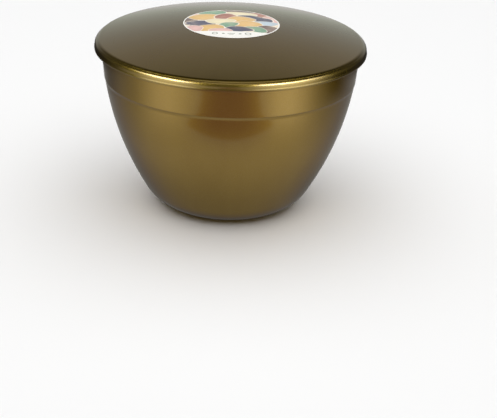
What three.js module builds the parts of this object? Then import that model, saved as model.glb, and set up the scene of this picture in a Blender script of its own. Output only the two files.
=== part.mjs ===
// Lidded pudding basin: a deep tapered bowl with a straight collar under its rim, a domed press-on lid
// that caps the rim, and a round paper label stuck to the crown of the lid.
// Units are millimetres, +Z is up and the origin is the centre of the foot, on the surface it stands on.
import * as THREE from "three";

// ---- driving dimensions ----
const SEGMENTS = 72; // round the axis, the same for every piece so that neighbouring facets line up

// basin, outside
const FOOT_INNER_RADIUS = 28.2; // the flat foot ring runs from here out to the bottom corner
const RECESS_RADIUS = 26.6; // the underside is raised inside this radius
const RECESS_DEPTH = 1.2;
const CORNER_RADIUS = 24.6; // between the foot and the wall
const WALL = [45.975, 67.665, -37.819, 4.646]; // wall radius as a cubic in height / 100
const SHOULDER_Z = 84.0; // where the collar starts
const SHOULDER_STEP = 0.35; // how far the collar stands out of the wall
const COLLAR_TOP_Z = 102.0;
const COLLAR_SLOPE = 0.081;
const RIM_TOP_Z = 106.1;
const RIM_RADIUS = 83.3; // the widest line of the bead round the rim
const RIM_TOP_RADIUS = 82.3; // where the bead rounds over onto the top of the rim

// basin, walls
const WALL_THICKNESS = 1.7;
const FLOOR_THICKNESS = 2.0;

// lid
const LID_EDGE_Z = 107.6; // the line where the dome meets the skirt
const LID_EDGE_RADIUS = 83.5;
const LID_CROWN = 10.5; // rise of the dome above that line
const LID_THICKNESS = 1.25;
const SKIRT_RADIUS = 85.05; // the widest line of the skirt
const SKIRT_BOTTOM_Z = 101.8;
const EDGE_ROLL_START = 81.4; // the dome rolls over into the skirt from this radius, in two arcs
const EDGE_ROLL_RADIUS = 3.6; // upper arc, down to the crease
const SKIRT_ROLL_RADIUS = 3.05; // lower arc, below the crease
const CREASE_ANGLE = 40; // how far above the horizontal the upper arc still faces at the crease
const SKIRT_ROLL_FROM = 60; // the lower arc faces from this angle to the next one
const SKIRT_ROLL_TO = 16;
const RIM_CLEARANCE = 0.35; // between the basin's rim and the lid, all round
const SEAL_OUTER_RADIUS = 78.4; // locating rib inside the basin's mouth
const SEAL_THICKNESS = 1.1;
const SEAL_DEPTH = 3.6;

// label
const LABEL_RADIUS = 30.0;
const LABEL_THICKNESS = 0.2;
const LABEL_GAP = 0.05; // the layer of adhesive

// ---- helpers ----
const p = (r, z) => new THREE.Vector2(r, z);

// A solid of revolution about +Z from a half section given as (radius, height).
function revolve(name, section, material) {
  const geometry = new THREE.LatheGeometry(section, SEGMENTS);
  geometry.rotateX(Math.PI / 2);
  const mesh = new THREE.Mesh(geometry, material);
  mesh.name = name;
  return mesh;
}

const wallRadius = (z) => {
  const u = z / 100;
  return WALL[0] + WALL[1] * u + WALL[2] * u * u + WALL[3] * u ** 3;
};
const wallSlope = (z) => {
  const u = z / 100;
  return (WALL[1] + 2 * WALL[2] * u + 3 * WALL[3] * u * u) / 100;
};

// The height where the bottom corner, an arc tangent to the foot's plane, meets the wall.
function cornerEnd() {
  for (let z = 0.5; z < 60; z += 0.01) {
    const s = wallSlope(z),
      n = Math.hypot(1, s);
    if (z + (CORNER_RADIUS * s) / n >= CORNER_RADIUS) return z;
  }
  throw new Error("the corner doesn't meet the wall");
}
const cornerTopZ = cornerEnd();
const cornerSlope = wallSlope(cornerTopZ);
const cornerNormal = Math.atan2(-cornerSlope, 1); // of the outward normal at the top of the corner
const cornerCentreR =
  wallRadius(cornerTopZ) - CORNER_RADIUS * Math.cos(cornerNormal);

// ---- basin ----
function basinSection() {
  const outside = [];
  const inside = [];
  outside.push(p(0, RECESS_DEPTH), p(RECESS_RADIUS, RECESS_DEPTH));
  outside.push(p(FOOT_INNER_RADIUS, 0), p(cornerCentreR, 0));
  inside.push(p(0, RECESS_DEPTH + FLOOR_THICKNESS));
  inside.push(p(RECESS_RADIUS - 0.6, RECESS_DEPTH + FLOOR_THICKNESS));
  inside.push(p(FOOT_INNER_RADIUS, FLOOR_THICKNESS));
  const steps = 9;
  for (let i = 1; i <= steps; i++) {
    const a = -Math.PI / 2 + (i / steps) * (cornerNormal + Math.PI / 2);
    outside.push(
      p(
        cornerCentreR + CORNER_RADIUS * Math.cos(a),
        CORNER_RADIUS + CORNER_RADIUS * Math.sin(a),
      ),
    );
    const t = FLOOR_THICKNESS + (i / steps) * (WALL_THICKNESS - FLOOR_THICKNESS);
    inside.push(
      p(
        cornerCentreR + (CORNER_RADIUS - t) * Math.cos(a),
        CORNER_RADIUS + (CORNER_RADIUS - t) * Math.sin(a),
      ),
    );
  }
  const rows = 8;
  for (let i = 1; i <= rows; i++) {
    const z = cornerTopZ + (i / rows) * (SHOULDER_Z - cornerTopZ);
    const s = wallSlope(z),
      n = Math.hypot(1, s);
    outside.push(p(wallRadius(z), z));
    inside.push(
      p(wallRadius(z) - WALL_THICKNESS / n, z + (WALL_THICKNESS * s) / n),
    );
  }
  // shoulder and collar
  const collarR = wallRadius(SHOULDER_Z) + SHOULDER_STEP;
  const collarTopR = collarR + COLLAR_SLOPE * (COLLAR_TOP_Z - SHOULDER_Z);
  outside.push(p(collarR - 0.08, SHOULDER_Z + 0.12));
  outside.push(p(collarR, SHOULDER_Z + 0.4));
  outside.push(p(collarTopR - 0.35, COLLAR_TOP_Z - 1.0));
  inside.push(p(collarR - WALL_THICKNESS, SHOULDER_Z + 1.1));
  // rim: a flange with a rounded bead on its edge
  const inR = collarTopR - WALL_THICKNESS;
  outside.push(p(collarTopR + 0.1, COLLAR_TOP_Z - 0.25));
  outside.push(p(collarTopR + 0.5, COLLAR_TOP_Z + 0.15));
  outside.push(p(RIM_RADIUS - 0.75, COLLAR_TOP_Z + 0.3));
  outside.push(p(RIM_RADIUS - 0.2, COLLAR_TOP_Z + 0.6));
  outside.push(p(RIM_RADIUS, COLLAR_TOP_Z + 1.2));
  outside.push(p(RIM_RADIUS, COLLAR_TOP_Z + 1.9));
  outside.push(p(RIM_RADIUS - 0.3, COLLAR_TOP_Z + 2.8));
  outside.push(p(RIM_TOP_RADIUS, RIM_TOP_Z - 0.6));
  outside.push(p(RIM_TOP_RADIUS - 0.35, RIM_TOP_Z - 0.15));
  outside.push(p(RIM_TOP_RADIUS - 0.9, RIM_TOP_Z));
  outside.push(p(inR + 0.9, RIM_TOP_Z));
  outside.push(p(inR + 0.27, RIM_TOP_Z - 0.27));
  outside.push(p(inR, RIM_TOP_Z - 0.9));
  return [...outside, ...inside.reverse()];
}

// ---- lid ----
const domeZ = (r) =>
  LID_EDGE_Z + LID_CROWN * (1 - (r / LID_EDGE_RADIUS) ** 2);
const domeRadii = [0, 10, 20, LABEL_RADIUS, 40, 50, 60, 69, 76];
const domeSlope = (r) => (2 * LID_CROWN * r) / LID_EDGE_RADIUS ** 2;
// the dome's inner face, a constant thickness below the outer one
const under = (r) => {
  const s = domeSlope(r),
    n = Math.hypot(1, s);
  return p(r - (LID_THICKNESS * s) / n, domeZ(r) - LID_THICKNESS / n);
};

function lidSection() {
  const s = [];
  // underside, from the axis outwards
  for (const r of [0, 15, LABEL_RADIUS, 45, 60, 70]) s.push(under(r));
  const sealIn = SEAL_OUTER_RADIUS - SEAL_THICKNESS;
  const ceilingZ = (r) => domeZ(r) - LID_THICKNESS * 1.03;
  s.push(p(sealIn - 0.5, ceilingZ(sealIn - 0.5)));
  s.push(p(sealIn, ceilingZ(sealIn) - 0.5));
  s.push(p(sealIn + 0.1, LID_EDGE_Z - SEAL_DEPTH + 0.35));
  s.push(p(sealIn + 0.4, LID_EDGE_Z - SEAL_DEPTH));
  s.push(p(SEAL_OUTER_RADIUS - 0.5, LID_EDGE_Z - SEAL_DEPTH));
  s.push(p(SEAL_OUTER_RADIUS - 0.1, LID_EDGE_Z - SEAL_DEPTH + 0.5));
  s.push(p(SEAL_OUTER_RADIUS, RIM_TOP_Z + 0.9));
  s.push(p(SEAL_OUTER_RADIUS + 0.5, RIM_TOP_Z + RIM_CLEARANCE));
  s.push(p(RIM_TOP_RADIUS - 0.75, RIM_TOP_Z + RIM_CLEARANCE));
  s.push(p(RIM_TOP_RADIUS - 0.1, RIM_TOP_Z + 0.15));
  s.push(p(RIM_TOP_RADIUS + RIM_CLEARANCE, RIM_TOP_Z - 0.45));
  s.push(p(RIM_RADIUS - 0.3 + RIM_CLEARANCE, COLLAR_TOP_Z + 2.9));
  s.push(p(RIM_RADIUS + RIM_CLEARANCE, COLLAR_TOP_Z + 2.1));
  s.push(p(RIM_RADIUS + RIM_CLEARANCE, SKIRT_BOTTOM_Z + 0.3));
  s.push(p(RIM_RADIUS + RIM_CLEARANCE + 0.2, SKIRT_BOTTOM_Z));
  // lower edge and outside of the skirt, upwards
  s.push(p(SKIRT_RADIUS - 0.45, SKIRT_BOTTOM_Z));
  s.push(p(SKIRT_RADIUS - 0.14, SKIRT_BOTTOM_Z + 0.22));
  s.push(p(SKIRT_RADIUS, SKIRT_BOTTOM_Z + 0.98));
  s.push(p(SKIRT_RADIUS - 0.18, SKIRT_BOTTOM_Z + 1.72));
  const rad = Math.PI / 180;
  const domeAngle = Math.atan2(1, domeSlope(EDGE_ROLL_START)) / rad;
  const rollR = EDGE_ROLL_START - EDGE_ROLL_RADIUS * Math.cos(domeAngle * rad);
  const rollZ =
    domeZ(EDGE_ROLL_START) - EDGE_ROLL_RADIUS * Math.sin(domeAngle * rad);
  const creaseR = rollR + EDGE_ROLL_RADIUS * Math.cos(CREASE_ANGLE * rad);
  const creaseZ = rollZ + EDGE_ROLL_RADIUS * Math.sin(CREASE_ANGLE * rad);
  const lowR = creaseR - SKIRT_ROLL_RADIUS * Math.cos(SKIRT_ROLL_FROM * rad);
  const lowZ = creaseZ - SKIRT_ROLL_RADIUS * Math.sin(SKIRT_ROLL_FROM * rad);
  const lowEndR = lowR + SKIRT_ROLL_RADIUS * Math.cos(SKIRT_ROLL_TO * rad);
  const lowEndZ = lowZ + SKIRT_ROLL_RADIUS * Math.sin(SKIRT_ROLL_TO * rad);
  s.push(p(lowEndR + 0.1, lowEndZ - 0.9));
  for (const a of [SKIRT_ROLL_TO, 30, 45, SKIRT_ROLL_FROM])
    s.push(
      p(
        lowR + SKIRT_ROLL_RADIUS * Math.cos(a * rad),
        lowZ + SKIRT_ROLL_RADIUS * Math.sin(a * rad),
      ),
    );
  for (const a of [52, 64])
    s.push(
      p(
        rollR + EDGE_ROLL_RADIUS * Math.cos(a * rad),
        rollZ + EDGE_ROLL_RADIUS * Math.sin(a * rad),
      ),
    );
  s.push(p(EDGE_ROLL_START, domeZ(EDGE_ROLL_START)));
  for (const r of [...domeRadii].reverse()) s.push(p(r, domeZ(r)));
  return s;
}

// ---- label: a paper disc that follows the crown ----
function labelSection() {
  const radii = domeRadii.filter((r) => r <= LABEL_RADIUS);
  const bottom = radii.map((r) => p(r, domeZ(r) + LABEL_GAP));
  const top = radii.map((r) => p(r, domeZ(r) + LABEL_GAP + LABEL_THICKNESS));
  return [...bottom, ...top.reverse()];
}

// ---- materials ----
const goldPlastic = new THREE.MeshStandardMaterial({
  color: 0x8a713c,
  roughness: 0.34,
  metalness: 0.55,
});
const lidPlastic = new THREE.MeshStandardMaterial({
  color: 0x84703f,
  roughness: 0.32,
  metalness: 0.55,
});
const labelPaper = new THREE.MeshStandardMaterial({
  color: 0xe8dccf,
  roughness: 0.45,
  metalness: 0.0,
});

// ---- assembly ----
const object = new THREE.Group();
object.add(revolve("basin", basinSection(), goldPlastic));
const lid = new THREE.Group(); // everything that lifts off together
lid.add(revolve("lid", lidSection(), lidPlastic));
lid.add(revolve("lid_label", labelSection(), labelPaper));
object.add(lid);

export default object;
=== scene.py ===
import math

import bpy
from mathutils import Matrix, Vector


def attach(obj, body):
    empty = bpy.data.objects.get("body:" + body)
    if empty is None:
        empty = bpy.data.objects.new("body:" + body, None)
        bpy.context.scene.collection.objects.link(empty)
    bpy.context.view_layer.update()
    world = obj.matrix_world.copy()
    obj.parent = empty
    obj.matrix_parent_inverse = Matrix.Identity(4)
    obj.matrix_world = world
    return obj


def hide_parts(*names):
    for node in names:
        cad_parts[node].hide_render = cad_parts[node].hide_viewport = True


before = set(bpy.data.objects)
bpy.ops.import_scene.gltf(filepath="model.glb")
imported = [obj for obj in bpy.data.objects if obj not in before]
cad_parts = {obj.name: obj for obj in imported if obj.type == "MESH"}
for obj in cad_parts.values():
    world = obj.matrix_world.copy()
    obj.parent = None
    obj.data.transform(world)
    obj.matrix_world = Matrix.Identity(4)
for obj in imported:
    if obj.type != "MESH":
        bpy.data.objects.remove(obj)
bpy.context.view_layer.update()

MM = 0.001
SEGMENTS = 384

# ---------------------------------------------------------------- profile, in millimetres, as in the CAD part
WALL = (45.975, 67.665, -37.819, 4.646)
CORNER_R = 24.6
SHOULDER_Z, SHOULDER_STEP = 84.0, 0.35
COLLAR_TOP, COLLAR_SLOPE = 102.0, 0.081
RIM_TOP, RIM_R, RIM_TOP_R = 106.1, 83.3, 82.3
WALL_T, FLOOR_T = 1.7, 2.0
FOOT_IN, RECESS_R, RECESS_H = 28.2, 26.6, 1.2
EDGE_Z, EDGE_R, CROWN, LID_T = 107.6, 83.5, 10.5, 1.25
SKIRT_R, SKIRT_Z = 85.05, 101.8
ROLL_START, ROLL_R, SKIRT_ROLL_R = 81.4, 3.6, 3.05
SEAL_R, SEAL_T, SEAL_D = 78.4, 1.1, 3.6
GAP = 0.35
CREASE_N = 40.0
LABEL_R, LABEL_T, LABEL_GAP = 30.0, 0.2, 0.05


def wall_r(z):
    u = z / 100
    return WALL[0] + WALL[1] * u + WALL[2] * u * u + WALL[3] * u**3


def wall_s(z):
    u = z / 100
    return (WALL[1] + 2 * WALL[2] * u + 3 * WALL[3] * u * u) / 100


def corner():
    z = 0.5
    while z < 60:
        s = wall_s(z)
        if z + CORNER_R * s / math.hypot(1, s) >= CORNER_R:
            break
        z += 0.01
    a = math.atan2(-wall_s(z), 1)
    return z, a, wall_r(z) - CORNER_R * math.cos(a)


def rounded(points, radii, steps=5):
    """The polyline with each inner corner replaced by an arc; radii says how large, 0 keeps it sharp."""
    out = [points[0]]
    for i in range(1, len(points) - 1):
        p0, p, p1 = (Vector(q) for q in (points[i - 1], points[i], points[i + 1]))
        r = radii[i]
        a, b = (p0 - p), (p1 - p)
        la, lb = a.length, b.length
        a.normalize()
        b.normalize()
        ang = a.angle(b, math.pi)
        if r <= 0 or ang > math.radians(179):
            out.append(tuple(p))
            continue
        cut = min(r / math.tan(ang / 2), la * 0.48, lb * 0.48)
        rr = cut * math.tan(ang / 2)
        q0, q1 = p + a * cut, p + b * cut
        c = p + (a + b).normalized() * (rr / math.sin(ang / 2))
        v0, v1 = q0 - c, q1 - c
        t0 = math.atan2(v0.y, v0.x)
        t1 = math.atan2(v1.y, v1.x)
        d = (t1 - t0 + math.pi) % (2 * math.pi) - math.pi
        for k in range(steps + 1):
            t = t0 + d * k / steps
            out.append((c.x + rr * math.cos(t), c.y + rr * math.sin(t)))
    out.append(points[-1])
    return out


def basin_profile():
    top_z, a1, cr = corner()
    outside, inside = [], []
    foot = rounded(
        [(0, RECESS_H), (RECESS_R, RECESS_H), (FOOT_IN, 0.0), (cr, 0.0)],
        [0, 0.7, 0.6, 0],
    )
    outside += foot
    floor = rounded(
        [
            (0, RECESS_H + FLOOR_T),
            (RECESS_R - 0.6, RECESS_H + FLOOR_T),
            (FOOT_IN, FLOOR_T),
            (cr, FLOOR_T),
        ],
        [0, 2.5, 2.5, 0],
    )
    inside += floor
    n = 26
    for i in range(1, n + 1):
        a = -math.pi / 2 + i / n * (a1 + math.pi / 2)
        outside.append((cr + CORNER_R * math.cos(a), CORNER_R + CORNER_R * math.sin(a)))
        t = FLOOR_T + i / n * (WALL_T - FLOOR_T)
        inside.append(
            (cr + (CORNER_R - t) * math.cos(a), CORNER_R + (CORNER_R - t) * math.sin(a))
        )
    n = 34
    for i in range(1, n + 1):
        z = top_z + i / n * (SHOULDER_Z - 0.24 - top_z)
        s = wall_s(z)
        h = math.hypot(1, s)
        outside.append((wall_r(z), z))
        if i < n:
            inside.append((wall_r(z) - WALL_T / h, z + WALL_T * s / h))
    col = wall_r(SHOULDER_Z) + SHOULDER_STEP
    colt = col + COLLAR_SLOPE * (COLLAR_TOP - SHOULDER_Z)
    in_r = colt - WALL_T
    edge = [
        outside[-1],
        (col - 0.02, SHOULDER_Z + 0.12),
        (colt, COLLAR_TOP),
        (RIM_R, COLLAR_TOP + 0.3),
        (RIM_R, COLLAR_TOP + 2.2),
        (RIM_TOP_R + 0.1, RIM_TOP),
        (in_r, RIM_TOP),
        (col - WALL_T, SHOULDER_Z + 1.1),
        inside[-1],
    ]
    edge = rounded(edge, [0, 0.2, 0.8, 0.9, 1.4, 0.9, 0.8, 0.6, 0], 7)
    # more rows on the long straight runs, so that shading stays even
    dense = [edge[0]]
    for q in edge[1:]:
        p = dense[-1]
        k = max(1, int(math.hypot(q[0] - p[0], q[1] - p[1]) / 2.4))
        for j in range(1, k + 1):
            dense.append((p[0] + (q[0] - p[0]) * j / k, p[1] + (q[1] - p[1]) * j / k))
    return outside[:-1] + dense + inside[:-1][::-1]


def dome_z(r):
    return EDGE_Z + CROWN * (1 - (r / EDGE_R) ** 2)


def under(r):
    s = 2 * CROWN * r / EDGE_R**2
    n = math.hypot(1, s)
    return (r - LID_T * s / n, dome_z(r) - LID_T / n)


def arc(c, radius, n0, n1, steps):
    """Points of an arc whose outward normal turns from n0 to n1 degrees above the horizontal."""
    out = []
    for k in range(steps + 1):
        a = math.radians(n0 + (n1 - n0) * k / steps)
        out.append((c[0] + radius * math.cos(a), c[1] + radius * math.sin(a)))
    return out


def arc_centre(point, radius, n):
    a = math.radians(n)
    return (point[0] - radius * math.cos(a), point[1] - radius * math.sin(a))


def lid_profile():
    s = [under(r) for r in [0, 4, 8, 12, 16, 20, 25, 30, 35, 40, 45, 50, 55, 60, 65, 70, 74]]
    si = SEAL_R - SEAL_T
    ceil = lambda r: dome_z(r) - LID_T * 1.03
    # the dome rolls over into the skirt in two arcs with a fine crease between them
    dome_n = math.degrees(math.atan2(1, 2 * CROWN * ROLL_START / EDGE_R**2))
    top = (ROLL_START, dome_z(ROLL_START))
    c1 = arc_centre(top, ROLL_R, dome_n)
    crease = arc(c1, ROLL_R, CREASE_N, CREASE_N, 1)[0]
    c2 = arc_centre(crease, SKIRT_ROLL_R, 60)
    low = arc(c2, SKIRT_ROLL_R, 16, 16, 1)[0]
    k = [
        s[-1],
        (si - 0.1, ceil(si)),
        (si + 0.1, EDGE_Z - SEAL_D),
        (SEAL_R, EDGE_Z - SEAL_D),
        (SEAL_R, RIM_TOP + GAP),
        (RIM_TOP_R + 0.25, RIM_TOP + GAP),
        (RIM_R + GAP, COLLAR_TOP + 2.2),
        (RIM_R + GAP, SKIRT_Z),
        (SKIRT_R - 0.12, SKIRT_Z),
        (SKIRT_R + 0.04, SKIRT_Z + 1.08),
        (SKIRT_R - 0.19, SKIRT_Z + 1.74),
        (low[0] + 0.10, low[1] - 0.9),
        low,
    ]
    rad = [0, 0.8, 0.42, 0.42, 0.35, 0.9, 0.9, 0.25, 0.3, 0.45, 1.2, 1.2, 0]
    s = s[:-1] + rounded(k, rad, 7)
    s += arc(c2, SKIRT_ROLL_R, 16, 60, 16)[1:]
    s += arc(c1, ROLL_R, CREASE_N, dome_n, 16)[1:]
    for r in [80.7, 79.5, 78, 76, 74, 72, 69, 66, 63, 60, 56, 52, 48, 44, 40, 36, 33, 30, 26, 22, 18, 14, 10, 7, 4, 2, 0]:
        s.append((r, dome_z(r)))
    return s


def label_profile():
    r = [0, 2, 5, 8, 11, 14, 17, 20, 23, 26, 28, 29.2]
    low = [(x, dome_z(x) + LABEL_GAP) for x in r] + [(29.9, dome_z(29.9) + LABEL_GAP)]
    side = [
        (LABEL_R - 0.02, dome_z(LABEL_R) + LABEL_GAP + 0.04),
        (LABEL_R, dome_z(LABEL_R) + LABEL_GAP + LABEL_T - 0.07),
        (LABEL_R - 0.03, dome_z(LABEL_R) + LABEL_GAP + LABEL_T - 0.02),
        (29.9, dome_z(29.9) + LABEL_GAP + LABEL_T),
    ]
    top = [(x, dome_z(x) + LABEL_GAP + LABEL_T) for x in r]
    return low + side + top[::-1]


def revolve(name, profile, segments=SEGMENTS):
    """A smooth closed surface of revolution about Z; a profile point with radius 0 becomes a pole."""
    verts, faces, rows = [], [], []
    for r, z in profile:
        if r < 1e-6:
            rows.append([len(verts)])
            verts.append((0, 0, z * MM))
        else:
            rows.append(list(range(len(verts), len(verts) + segments)))
            for i in range(segments):
                a = 2 * math.pi * i / segments
                verts.append((r * MM * math.cos(a), r * MM * math.sin(a), z * MM))
    for p, q in zip(rows, rows[1:]):
        for i in range(segments):
            j = (i + 1) % segments
            if len(p) == 1 and len(q) == 1:
                continue
            if len(p) == 1:
                faces.append((p[0], q[j], q[i]))
            elif len(q) == 1:
                faces.append((p[i], p[j], q[0]))
            else:
                faces.append((p[i], p[j], q[j], q[i]))
    me = bpy.data.meshes.new(name)
    me.from_pydata(verts, [], faces)
    me.update()
    import bmesh

    bm = bmesh.new()
    bm.from_mesh(me)
    bmesh.ops.recalc_face_normals(bm, faces=bm.faces)
    for f in bm.faces:
        f.smooth = True
    bm.to_mesh(me)
    bm.free()
    o = bpy.data.objects.new(name, me)
    bpy.context.scene.collection.objects.link(o)
    return o


# ---------------------------------------------------------------- node helpers
class Tree:
    def __init__(self, name):
        self.m = bpy.data.materials.new(name)
        self.m.use_nodes = True
        self.t = self.m.node_tree
        self.t.nodes.clear()
        self.out = self.t.nodes.new("ShaderNodeOutputMaterial")
        self.b = self.t.nodes.new("ShaderNodeBsdfPrincipled")
        self.link(self.b.outputs[0], self.out.inputs[0])

    def link(self, a, b):
        self.t.links.new(a, b)

    def node(self, kind, **props):
        n = self.t.nodes.new(kind)
        for k, v in props.items():
            setattr(n, k, v)
        return n

    def put(self, socket, value):
        if hasattr(value, "is_linked") or isinstance(value, bpy.types.NodeSocket):
            self.link(value, socket)
        else:
            socket.default_value = value

    def math(self, op, a, b=None, c=None, clamp=False):
        n = self.node("ShaderNodeMath", operation=op, use_clamp=clamp)
        for i, v in enumerate((a, b, c)):
            if v is not None:
                self.put(n.inputs[i], v)
        return n.outputs[0]

    def vmath(self, op, a, b=None):
        n = self.node("ShaderNodeVectorMath", operation=op)
        self.put(n.inputs[0], a)
        if b is not None:
            self.put(n.inputs[1], b)
        return n.outputs["Value"] if op in ("LENGTH", "DOT_PRODUCT", "DISTANCE") else n.outputs[0]

    def ramp(self, v, lo, hi, a=0.0, b=1.0, smooth=True):
        n = self.node("ShaderNodeMapRange", interpolation_type="SMOOTHSTEP" if smooth else "LINEAR")
        self.put(n.inputs["Value"], v)
        n.inputs["From Min"].default_value = lo
        n.inputs["From Max"].default_value = hi
        n.inputs["To Min"].default_value = a
        n.inputs["To Max"].default_value = b
        return n.outputs[0]

    def mix(self, f, a, b, blend="MIX"):
        n = self.node("ShaderNodeMix", data_type="RGBA", blend_type=blend)
        self.put(n.inputs[0], f)
        self.put(n.inputs[6], a)
        self.put(n.inputs[7], b)
        return n.outputs[2]

    def noise(self, vec, scale, detail=3.0, rough=0.55, dist=0.0):
        n = self.node("ShaderNodeTexNoise")
        self.put(n.inputs["Vector"], vec)
        n.inputs["Scale"].default_value = scale
        n.inputs["Detail"].default_value = detail
        n.inputs["Roughness"].default_value = rough
        n.inputs["Distortion"].default_value = dist
        return n.outputs["Fac"]


def rgb(r, g, b):
    """An sRGB colour, 0 to 255, as a linear one."""
    f = lambda c: c / 12.92 if c <= 0.04045 else ((c + 0.055) / 1.055) ** 2.4
    return (f(r / 255), f(g / 255), f(b / 255), 1.0)


def gold_plastic(name, tint=None, rough_mid=None, under_height=None, coat_rough=None):
    """Injection-moulded plastic full of fine metallic pigment under a clear resin skin."""
    t = Tree(name)
    co = t.node("ShaderNodeTexCoord").outputs["Object"]
    # the pigment: soft clouds from the melt's flow, and a fine flake grain
    cloud = t.noise(co, 14.0, 4.0, 0.55, 0.8)
    sep = t.node("ShaderNodeSeparateXYZ")
    t.link(co, sep.inputs[0])
    flow_in = t.node("ShaderNodeCombineXYZ")
    ang = t.math("ARCTAN2", sep.outputs[1], sep.outputs[0])
    t.put(flow_in.inputs[0], t.math("COSINE", ang))
    t.put(flow_in.inputs[1], t.math("SINE", ang))
    t.put(flow_in.inputs[2], t.math("MULTIPLY", sep.outputs[2], 4.0))
    flow = t.noise(flow_in.outputs[0], 7.0, 3.0, 0.5, 0.3)
    vor = t.node("ShaderNodeTexVoronoi", feature="F1")
    t.link(co, vor.inputs["Vector"])
    vor.inputs["Scale"].default_value = 4200.0
    flake = t.node("ShaderNodeSeparateColor")
    t.link(vor.outputs["Color"], flake.inputs[0])
    base = t.mix(t.ramp(cloud, 0.3, 0.7), BASE_A, BASE_B)
    base = t.mix(t.ramp(flow, 0.35, 0.7, 0.0, 0.30), base, BASE_C)
    base = t.mix(t.ramp(flake.outputs[0], 0.60, 1.0, 0.0, 0.22), base, BASE_D)
    if tint:
        base = t.mix(1.0, base, (*tint, 1), blend="MULTIPLY")
    t.link(base, t.b.inputs["Base Color"])
    t.b.inputs["Metallic"].default_value = METAL
    # the pigment lies under resin, so it doesn't brighten at a glancing angle as bare metal does
    t.b.inputs["Specular Tint"].default_value = (EDGE_TINT, EDGE_TINT, EDGE_TINT, 1)
    # hairline scuffs, in two directions, that catch a little light
    scuffs = None
    for rot, sc in (((0.4, 0.2, 0.5), (900, 30, 60)), ((1.1, 0.5, 2.1), (40, 850, 50))):
        mp = t.node("ShaderNodeMapping")
        t.link(co, mp.inputs["Vector"])
        mp.inputs["Rotation"].default_value = rot
        mp.inputs["Scale"].default_value = sc
        n = t.noise(mp.outputs[0], 1.0, 2.0, 0.6)
        line = t.ramp(n, 0.70, 0.76)
        scuffs = line if scuffs is None else t.math("MAXIMUM", scuffs, line)
    patch = t.ramp(t.noise(co, 30.0, 2.0), 0.46, 0.66)
    scuffs = t.math("MULTIPLY", scuffs, patch)
    mid = rough_mid or ROUGH
    rough = t.ramp(cloud, 0.25, 0.75, mid - 0.03, mid + 0.04, smooth=False)
    rough = t.math("ADD", rough, t.math("MULTIPLY", scuffs, 0.14))
    t.link(rough, t.b.inputs["Roughness"])
    t.b.inputs["IOR"].default_value = 1.49
    t.b.inputs["Coat Weight"].default_value = 1.0
    t.b.inputs["Coat Roughness"].default_value = coat_rough or COAT_ROUGH
    t.b.inputs["Coat IOR"].default_value = COAT_IOR
    # relief: very slight moulded waviness, flake grain, scuffs
    wave = t.noise(co, 55.0, 2.0, 0.5)
    grain = t.noise(co, 1500.0, 2.0, 0.6)
    h = t.math("MULTIPLY", wave, 0.000018)
    h = t.math("ADD", h, t.math("MULTIPLY", grain, 0.0000015))
    h = t.math("SUBTRACT", h, t.math("MULTIPLY", scuffs, 0.000008))
    if under_height:
        h = t.math("ADD", h, under_height(t, sep))
    bump = t.node("ShaderNodeBump")
    bump.inputs["Strength"].default_value = 0.5
    bump.inputs["Distance"].default_value = 1.0
    t.link(h, bump.inputs["Height"])
    t.link(bump.outputs[0], t.b.inputs["Normal"])
    return t.m


BASE_A = (0.378, 0.228, 0.0140, 1)
BASE_B = (0.406, 0.249, 0.0210, 1)
BASE_C = (0.356, 0.204, 0.0090, 1)
BASE_D = (0.558, 0.385, 0.095, 1)
METAL = 1.0
EDGE_TINT = 0.15
ROUGH = 0.33
COAT_ROUGH = 0.12
COAT_IOR = 1.72
FLOOR_LIGHT = 90.0
WALL_LOW, WALL_HIGH = 0.76, 0.13
BOX_LEFT, BOX_RIGHT = 12.0, 12.5


def base_rings(t, sep):
    """Fine turned rings on the recessed underside, as the mould's tool leaves."""
    r = t.math(
        "SQRT",
        t.math(
            "ADD",
            t.math("MULTIPLY", sep.outputs[0], sep.outputs[0]),
            t.math("MULTIPLY", sep.outputs[1], sep.outputs[1]),
        ),
    )
    ring = t.math("SINE", t.math("MULTIPLY", r, 5200.0))
    low = t.ramp(sep.outputs[2], 0.0012, 0.0022, 1.0, 0.0)
    inner = t.ramp(r, 0.0262, 0.0256)
    return t.math("MULTIPLY", t.math("MULTIPLY", ring, 0.000006), t.math("MULTIPLY", low, inner))


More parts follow.
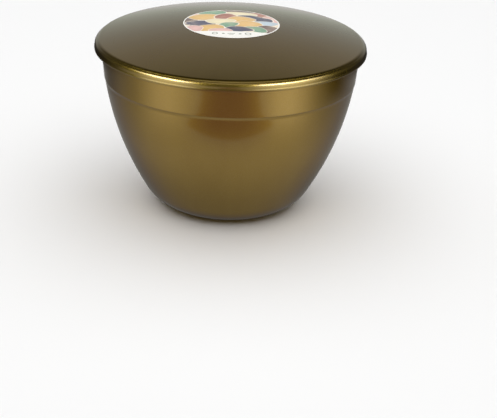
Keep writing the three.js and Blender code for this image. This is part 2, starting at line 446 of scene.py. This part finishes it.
def label_material():
    """Coated round label: a generic pattern of soft overlapping shapes, with a plain white band at the front."""
    t = Tree("label_print")
    co = t.node("ShaderNodeTexCoord").outputs["Object"]
    mp = t.node("ShaderNodeMapping")
    t.link(co, mp.inputs["Vector"])
    k = 1 / (LABEL_R * MM)
    mp.inputs["Scale"].default_value = (k, k, 0.0)
    uv = mp.outputs[0]
    wob = t.node("ShaderNodeTexNoise")
    t.link(uv, wob.inputs["Vector"])
    wob.inputs["Scale"].default_value = 1.6
    wob.inputs["Detail"].default_value = 1.0
    off = t.vmath("SUBTRACT", wob.outputs["Color"], (0.5, 0.5, 0.5))
    offs = t.node("ShaderNodeVectorMath", operation="SCALE")
    t.link(off, offs.inputs[0])
    offs.inputs["Scale"].default_value = 0.35
    flat = t.vmath("MULTIPLY", offs.outputs[0], (1.0, 1.0, 0.0))
    soft = t.vmath("ADD", uv, flat)
    colour = rgb(238, 224, 200)
    for x, y, rx, ry, turn, c in LABEL_SHAPES:
        m = t.node("ShaderNodeMapping", vector_type="TEXTURE")
        t.link(soft, m.inputs["Vector"])
        m.inputs["Location"].default_value = (x, y, 0)
        m.inputs["Rotation"].default_value = (0, 0, math.radians(turn))
        m.inputs["Scale"].default_value = (rx, ry, 1)
        d = t.vmath("LENGTH", m.outputs[0])
        colour = t.mix(t.ramp(d, 1.07, 1.04, 0.0, 0.85), colour, rgb(244, 234, 220))
        shaded = t.mix(t.ramp(d, 0.2, 1.0, 0.0, 0.22), rgb(*c), rgb(*(v * 0.72 for v in c)))
        colour = t.mix(t.ramp(d, 1.0, 0.965), colour, shaded)
    shade = t.noise(soft, 3.0, 2.0)
    colour = t.mix(t.ramp(shade, 0.40, 0.75, 0.0, 0.22), colour, rgb(238, 216, 190))
    sep = t.node("ShaderNodeSeparateXYZ")
    t.link(uv, sep.inputs[0])
    # paper grain in the ink
    grain = t.noise(co, 1400.0, 3.0, 0.6)
    colour = t.mix(t.ramp(grain, 0.35, 0.75, 0.0, 0.07), colour, (0.35, 0.32, 0.30, 1))
    white = rgb(240, 238, 232)
    band = t.ramp(sep.outputs[1], -0.62, -0.635)
    colour = t.mix(band, colour, white)
    # small plain marks on the band: two rings, two dots and two bars
    marks = None
    def add(f):
        nonlocal marks
        marks = f if marks is None else t.math("MAXIMUM", marks, f)
    def dist(x, y):
        return t.vmath("DISTANCE", uv, (x, y, 0.0))
    for x, y, r in ((-0.33, -0.76, 0.05), (0.34, -0.75, 0.055)):
        d = dist(x, y)
        add(t.ramp(t.math("ABSOLUTE", t.math("SUBTRACT", d, r)), 0.016, 0.008))
    for x, y, r in ((-0.16, -0.77, 0.030), (0.18, -0.77, 0.03)):
        add(t.ramp(dist(x, y), r + 0.004, r - 0.004))
    for x, y, w, h in ((0.0, -0.765, 0.075, 0.014), (0.0, -0.815, 0.05, 0.010)):
        dx = t.math("ABSOLUTE", t.math("SUBTRACT", sep.outputs[0], x))
        dy = t.math("ABSOLUTE", t.math("SUBTRACT", sep.outputs[1], y))
        add(t.math("MULTIPLY", t.ramp(dx, w + 0.004, w - 0.004), t.ramp(dy, h + 0.004, h - 0.004)))
    colour = t.mix(t.math("MULTIPLY", marks, 0.8), colour, rgb(128, 138, 122))
    # unprinted margin and cut edge
    r = t.vmath("LENGTH", uv)
    colour = t.mix(t.ramp(r, 0.968, 0.978), colour, white)
    t.link(colour, t.b.inputs["Base Color"])
    t.b.inputs["Metallic"].default_value = 0.0
    t.b.inputs["IOR"].default_value = 1.47
    rough = t.ramp(grain, 0.2, 0.8, 0.36, 0.50, smooth=False)
    t.link(rough, t.b.inputs["Roughness"])
    t.b.inputs["Coat Weight"].default_value = 0.25
    t.b.inputs["Coat Roughness"].default_value = 0.25
    h = t.math("MULTIPLY", grain, 0.000006)
    h = t.math("ADD", h, t.math("MULTIPLY", t.noise(co, 120.0, 2.0), 0.00004))
    bump = t.node("ShaderNodeBump")
    bump.inputs["Strength"].default_value = 0.5
    bump.inputs["Distance"].default_value = 1.0
    t.link(h, bump.inputs["Height"])
    t.link(bump.outputs[0], t.b.inputs["Normal"])
    return t.m


CREAM, AMBER, SAGE, ROSE, SLATE, MIST, RUST, UMBER = (
    (238, 226, 190),
    (226, 184, 116),
    (118, 160, 134),
    (226, 184, 178),
    (76, 78, 102),
    (188, 204, 216),
    (164, 104, 94),
    (112, 94, 92),
)
LABEL_SHAPES = [
    # x, y, rx, ry, turn, colour; -y is the front
    (-0.75, 0.52, 0.36, 0.26, 35, ROSE),
    (0.62, 0.66, 0.44, 0.24, -28, RUST),
    (0.05, 0.84, 0.40, 0.20, 4, UMBER),
    (-0.42, 0.70, 0.30, 0.22, 14, SAGE),
    (0.20, 0.62, 0.34, 0.18, -12, CREAM),
    (0.86, 0.22, 0.24, 0.40, -16, ROSE),
    (-0.88, 0.08, 0.22, 0.36, 10, UMBER),
    (0.50, 0.30, 0.40, 0.20, -18, SLATE),
    (-0.52, 0.32, 0.36, 0.22, -10, AMBER),
    (-0.10, 0.34, 0.24, 0.26, 30, RUST),
    (0.16, 0.20, 0.30, 0.22, 12, AMBER),
    (0.70, -0.04, 0.32, 0.18, 6, MIST),
    (-0.66, -0.12, 0.34, 0.18, -14, SLATE),
    (-0.24, 0.02, 0.30, 0.18, 10, CREAM),
    (0.34, -0.16, 0.32, 0.22, -8, AMBER),
    (-0.02, -0.22, 0.22, 0.18, 24, SAGE),
    (0.78, -0.36, 0.26, 0.22, 18, UMBER),
    (0.52, -0.44, 0.24, 0.16, -12, SAGE),
    (-0.46, -0.40, 0.34, 0.18, 8, AMBER),
    (-0.78, -0.42, 0.20, 0.16, -30, ROSE),
    (0.14, -0.50, 0.30, 0.16, 4, SLATE),
    (-0.20, -0.56, 0.24, 0.12, -6, ROSE),
]

# ---------------------------------------------------------------- pieces
basin = revolve("basin_shell", basin_profile())
basin.data.materials.append(gold_plastic("gold_plastic_basin", under_height=base_rings))
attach(basin, "basin")
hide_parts("basin")

lid = revolve("lid_shell", lid_profile())
lid.data.materials.append(gold_plastic("gold_plastic_lid", tint=(0.795, 0.845, 0.90), rough_mid=0.28, coat_rough=0.15))
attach(lid, "lid")
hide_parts("lid")

label = revolve("label_disc", label_profile(), 192)
label.data.materials.append(label_material())
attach(label, "lid")
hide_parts("lid_label")


# ---------------------------------------------------------------- stage
STAGE_HALF = 6.0


def square(name, z, half, material):
    me = bpy.data.meshes.new(name)
    me.from_pydata(
        [(-half, -half, z), (half, -half, z), (half, half, z), (-half, half, z)], [], [(0, 1, 2, 3)]
    )
    me.materials.append(material)
    o = bpy.data.objects.new(name, me)
    bpy.context.scene.collection.objects.link(o)
    return o


def floor_material():
    """Plain white paper, seen from above only, so that the object's underside can be looked at."""
    t = Tree("floor_paper")
    t.b.inputs["Base Color"].default_value = (0.86, 0.86, 0.86, 1)
    t.b.inputs["Roughness"].default_value = 0.95
    t.b.inputs["Specular IOR Level"].default_value = 0.0
    clear = t.node("ShaderNodeBsdfTransparent")
    mix = t.node("ShaderNodeMixShader")
    t.link(t.node("ShaderNodeNewGeometry").outputs["Backfacing"], mix.inputs[0])
    t.link(t.b.outputs[0], mix.inputs[1])
    t.link(clear.outputs[0], mix.inputs[2])
    t.link(mix.outputs[0], t.out.inputs[0])
    return t.m


def polar(t, co):
    """Distance from the axis in metres, and the angle from the front in degrees, positive to the right."""
    sep = t.node("ShaderNodeSeparateXYZ")
    t.link(co, sep.inputs[0])
    x, y = sep.outputs[0], sep.outputs[1]
    r = t.math("SQRT", t.math("ADD", t.math("MULTIPLY", x, x), t.math("MULTIPLY", y, y)))
    az = t.math("MULTIPLY", t.math("ARCTAN2", x, t.math("MULTIPLY", y, -1.0)), 180 / math.pi)
    return x, y, sep.outputs[2], r, az


def bell(t, v, centre, width):
    d = t.math("DIVIDE", t.math("SUBTRACT", v, centre), width)
    return t.math("EXPONENT", t.math("MULTIPLY", t.math("MULTIPLY", d, d), -1.0))


def cards_material():
    """The light and dark cards that lie round the object: only reflections see them."""
    t = Tree("cards")
    co = t.node("ShaderNodeTexCoord").outputs["Object"]
    x, y, z, r, az = polar(t, co)
    aaz = t.math("ABSOLUTE", az)
    M = lambda *v: t.math("MULTIPLY", *v)
    A = lambda *v: t.math("ADD", *v)
    light = t.ramp(r, 0.045, 0.118, 0.235, 0.43)
    light = M(light, t.ramp(r, 0.029, 0.054, 0.12, 1.0))
    light = M(light, t.ramp(aaz, 50, 115, 1.0, 0.68))
    far = t.ramp(r, 0.125, 0.235)
    light = A(light, M(M(bell(t, az, -50, 20), far), 0.34))
    light = A(light, M(M(bell(t, az, 45, 17.5), far), 0.46))
    light = A(light, M(M(bell(t, aaz, 80, 16), far), -0.09))
    light = A(light, M(M(bell(t, az, 40, 28), M(t.ramp(r, 0.110, 0.075), t.ramp(r, 0.045, 0.065))), 0.03))
    edge = t.ramp(r, 0.36, 0.62)
    light = A(light, M(M(A(bell(t, az, -50, 23), bell(t, az, 47, 25)), edge), 0.65))
    far = t.ramp(r, 0.19, 0.235)
    light = M(light, t.math("SUBTRACT", 1.0, M(M(bell(t, az, 95, 18), t.ramp(r, 0.229, 0.262)), 0.90)))
    light = M(light, t.math("SUBTRACT", 1.0, M(M(bell(t, az, -122, 19), far), 0.45)))
    light = A(light, M(M(t.ramp(aaz, 140, 165), t.ramp(r, 0.09, 0.2)), 0.45))
    out = M(M(t.ramp(aaz, 84, 104), t.ramp(aaz, 168, 150)), t.ramp(r, 0.265, 0.30))
    light = M(light, t.math("SUBTRACT", 1.0, M(out, 0.85)))
    gap = M(
        t.ramp(t.math("ABSOLUTE", t.math("SUBTRACT", x, 0.003)), 0.100, 0.085),
        t.ramp(y, -0.1405, -0.1450),
    )
    light = M(light, t.math("SUBTRACT", 1.0, M(gap, 0.50)))
    # a pale patch that only the recess under the base mirrors
    light = A(light, t.ramp(r, 0.0290, 0.0240, 0.0, 0.13))
    em = t.node("ShaderNodeEmission")
    t.link(light, em.inputs["Strength"])
    t.link(t.mix(gap, (1.0, 0.98, 0.93, 1), (1.0, 0.60, 0.66, 1)), em.inputs["Color"])
    t.link(em.outputs[0], t.out.inputs[0])
    return t.m


floor = square("floor", -0.00002, STAGE_HALF, floor_material())
floor.visible_glossy = False
cards = square("cards", -0.00001, STAGE_HALF, cards_material())
cards.visible_camera = False
cards.visible_diffuse = False
cards.visible_transmission = False
cards.visible_shadow = False


def area(name, at, to, size, power):
    l = bpy.data.lights.new(name, "AREA")
    l.shape = "RECTANGLE"
    l.size, l.size_y = size
    l.energy = power
    o = bpy.data.objects.new(name, l)
    bpy.context.scene.collection.objects.link(o)
    o.location = at
    o.rotation_mode = "QUATERNION"
    o.rotation_quaternion = (Vector(to) - Vector(at)).to_track_quat("-Z", "Y")
    o.visible_glossy = False
    return o


area("overhead", (0.0, 0.0, 1.7), (0, 0, 0), (4.0, 4.0), FLOOR_LIGHT)

# the studio round it: a white wall behind that fades upwards, two softboxes, and dark elsewhere
world = bpy.data.worlds.new("studio")
world.use_nodes = True


class Sky(Tree):
    def __init__(self, w):
        self.t = w.node_tree
        self.t.nodes.clear()
        self.out = self.t.nodes.new("ShaderNodeOutputWorld")


t = Sky(world)
x, y, z, r, az = polar(t, t.node("ShaderNodeTexCoord").outputs["Generated"])
aaz = t.math("ABSOLUTE", az)
el = t.math("MULTIPLY", t.math("ARCSINE", z), 180 / math.pi)
M = lambda *v: t.math("MULTIPLY", *v)
A = lambda *v: t.math("ADD", *v)
wall = A(t.ramp(el, -4, 58, WALL_LOW - WALL_HIGH, 0.0, smooth=False), WALL_HIGH)
wall = M(wall, t.ramp(aaz, 132, 166, 0.10, 1.0))
wall = M(wall, t.ramp(el, 42, 60, 1.0, 0.10))
box_az = A(
    M(M(t.ramp(az, -28, -52), t.ramp(az, -98, -60)), BOX_LEFT),
    M(M(t.ramp(az, 20, 38), t.ramp(az, 102, 37)), BOX_RIGHT),
)
low_az = A(
    M(t.ramp(t.math("ABSOLUTE", t.math("SUBTRACT", az, -52)), 32, 13), BOX_LEFT),
    M(M(t.ramp(az, 9, 35), t.ramp(az, 98, 58)), BOX_RIGHT),
)
box_light = A(
    M(box_az, t.ramp(t.math("ABSOLUTE", t.math("SUBTRACT", el, 37)), 14, 5)),
    M(low_az, M(t.ramp(t.math("ABSOLUTE", t.math("SUBTRACT", el, 4)), 26, 12), 0.14)),
)
# a soft pale ceiling over the front half, and a pale ground that only an upward look meets
above = M(M(t.ramp(el, 50, 62), t.ramp(y, 0.05, -0.30)), 0.58)
below = t.ramp(el, -3, -12, 0.0, 0.5)
light = A(A(wall, box_light), A(above, below))
sky = t.node("ShaderNodeBackground")
t.link(light, sky.inputs["Strength"])
box = t.math("MINIMUM", box_light, 1.0)
tone = t.mix(t.ramp(el, 38, 10), (1, 0.985, 0.915, 1), (0.985, 1.03, 0.885, 1))
tone = t.mix(box, tone, (0.95, 1.0, 1.20, 1))
tone = t.mix(t.math("MINIMUM", above, 1.0), tone, (1.0, 0.93, 0.78, 1))
t.link(tone, sky.inputs["Color"])
seen = t.node("ShaderNodeBackground")
seen.inputs["Color"].default_value = (0.90, 0.90, 0.90, 1)
seen.inputs["Strength"].default_value = 1.0
pick = t.node("ShaderNodeMixShader")
t.link(t.node("ShaderNodeLightPath").outputs["Is Camera Ray"], pick.inputs[0])
t.link(sky.outputs[0], pick.inputs[1])
t.link(seen.outputs[0], pick.inputs[2])
t.link(pick.outputs[0], t.out.inputs[0])
bpy.context.scene.world = world
world.cycles_visibility.diffuse = False
bpy.context.scene.view_settings.view_transform = "Standard"
bpy.context.scene.view_settings.look = "None"

# ---------------------------------------------------------------- camera
ELEV, DIST = math.radians(17.098), 0.8
PITCH, YAW, ROLL = math.radians(7.645), math.radians(1.002), math.radians(1.683)
F_PX = 1269.04
target = Vector((0, 0, EDGE_Z * MM))
e = ELEV
fwd = Vector((0, math.cos(e), -math.sin(e)))
up = Vector((0, math.sin(e), math.cos(e)))
right = Vector((1, 0, 0))
place = target - DIST * fwd
right, fwd = (
    right * math.cos(YAW) - fwd * math.sin(YAW),
    right * math.sin(YAW) + fwd * math.cos(YAW),
)
up, fwd = (
    up * math.cos(PITCH) + fwd * math.sin(PITCH),
    -up * math.sin(PITCH) + fwd * math.cos(PITCH),
)
right, up = (
    right * math.cos(ROLL) + up * math.sin(ROLL),
    up * math.cos(ROLL) - right * math.sin(ROLL),
)
cam = bpy.data.cameras.new("camera")
cam.sensor_width = 36.0
cam.sensor_fit = "HORIZONTAL"
cam.lens = F_PX * 36.0 / 497.0
cam.clip_start, cam.clip_end = 0.05, 20
cam_o = bpy.data.objects.new("camera", cam)
bpy.context.scene.collection.objects.link(cam_o)
cam_o.matrix_world = Matrix(
    (
        (right.x, up.x, -fwd.x, place.x),
        (right.y, up.y, -fwd.y, place.y),
        (right.z, up.z, -fwd.z, place.z),
        (0, 0, 0, 1),
    )
)
bpy.context.scene.camera = cam_o
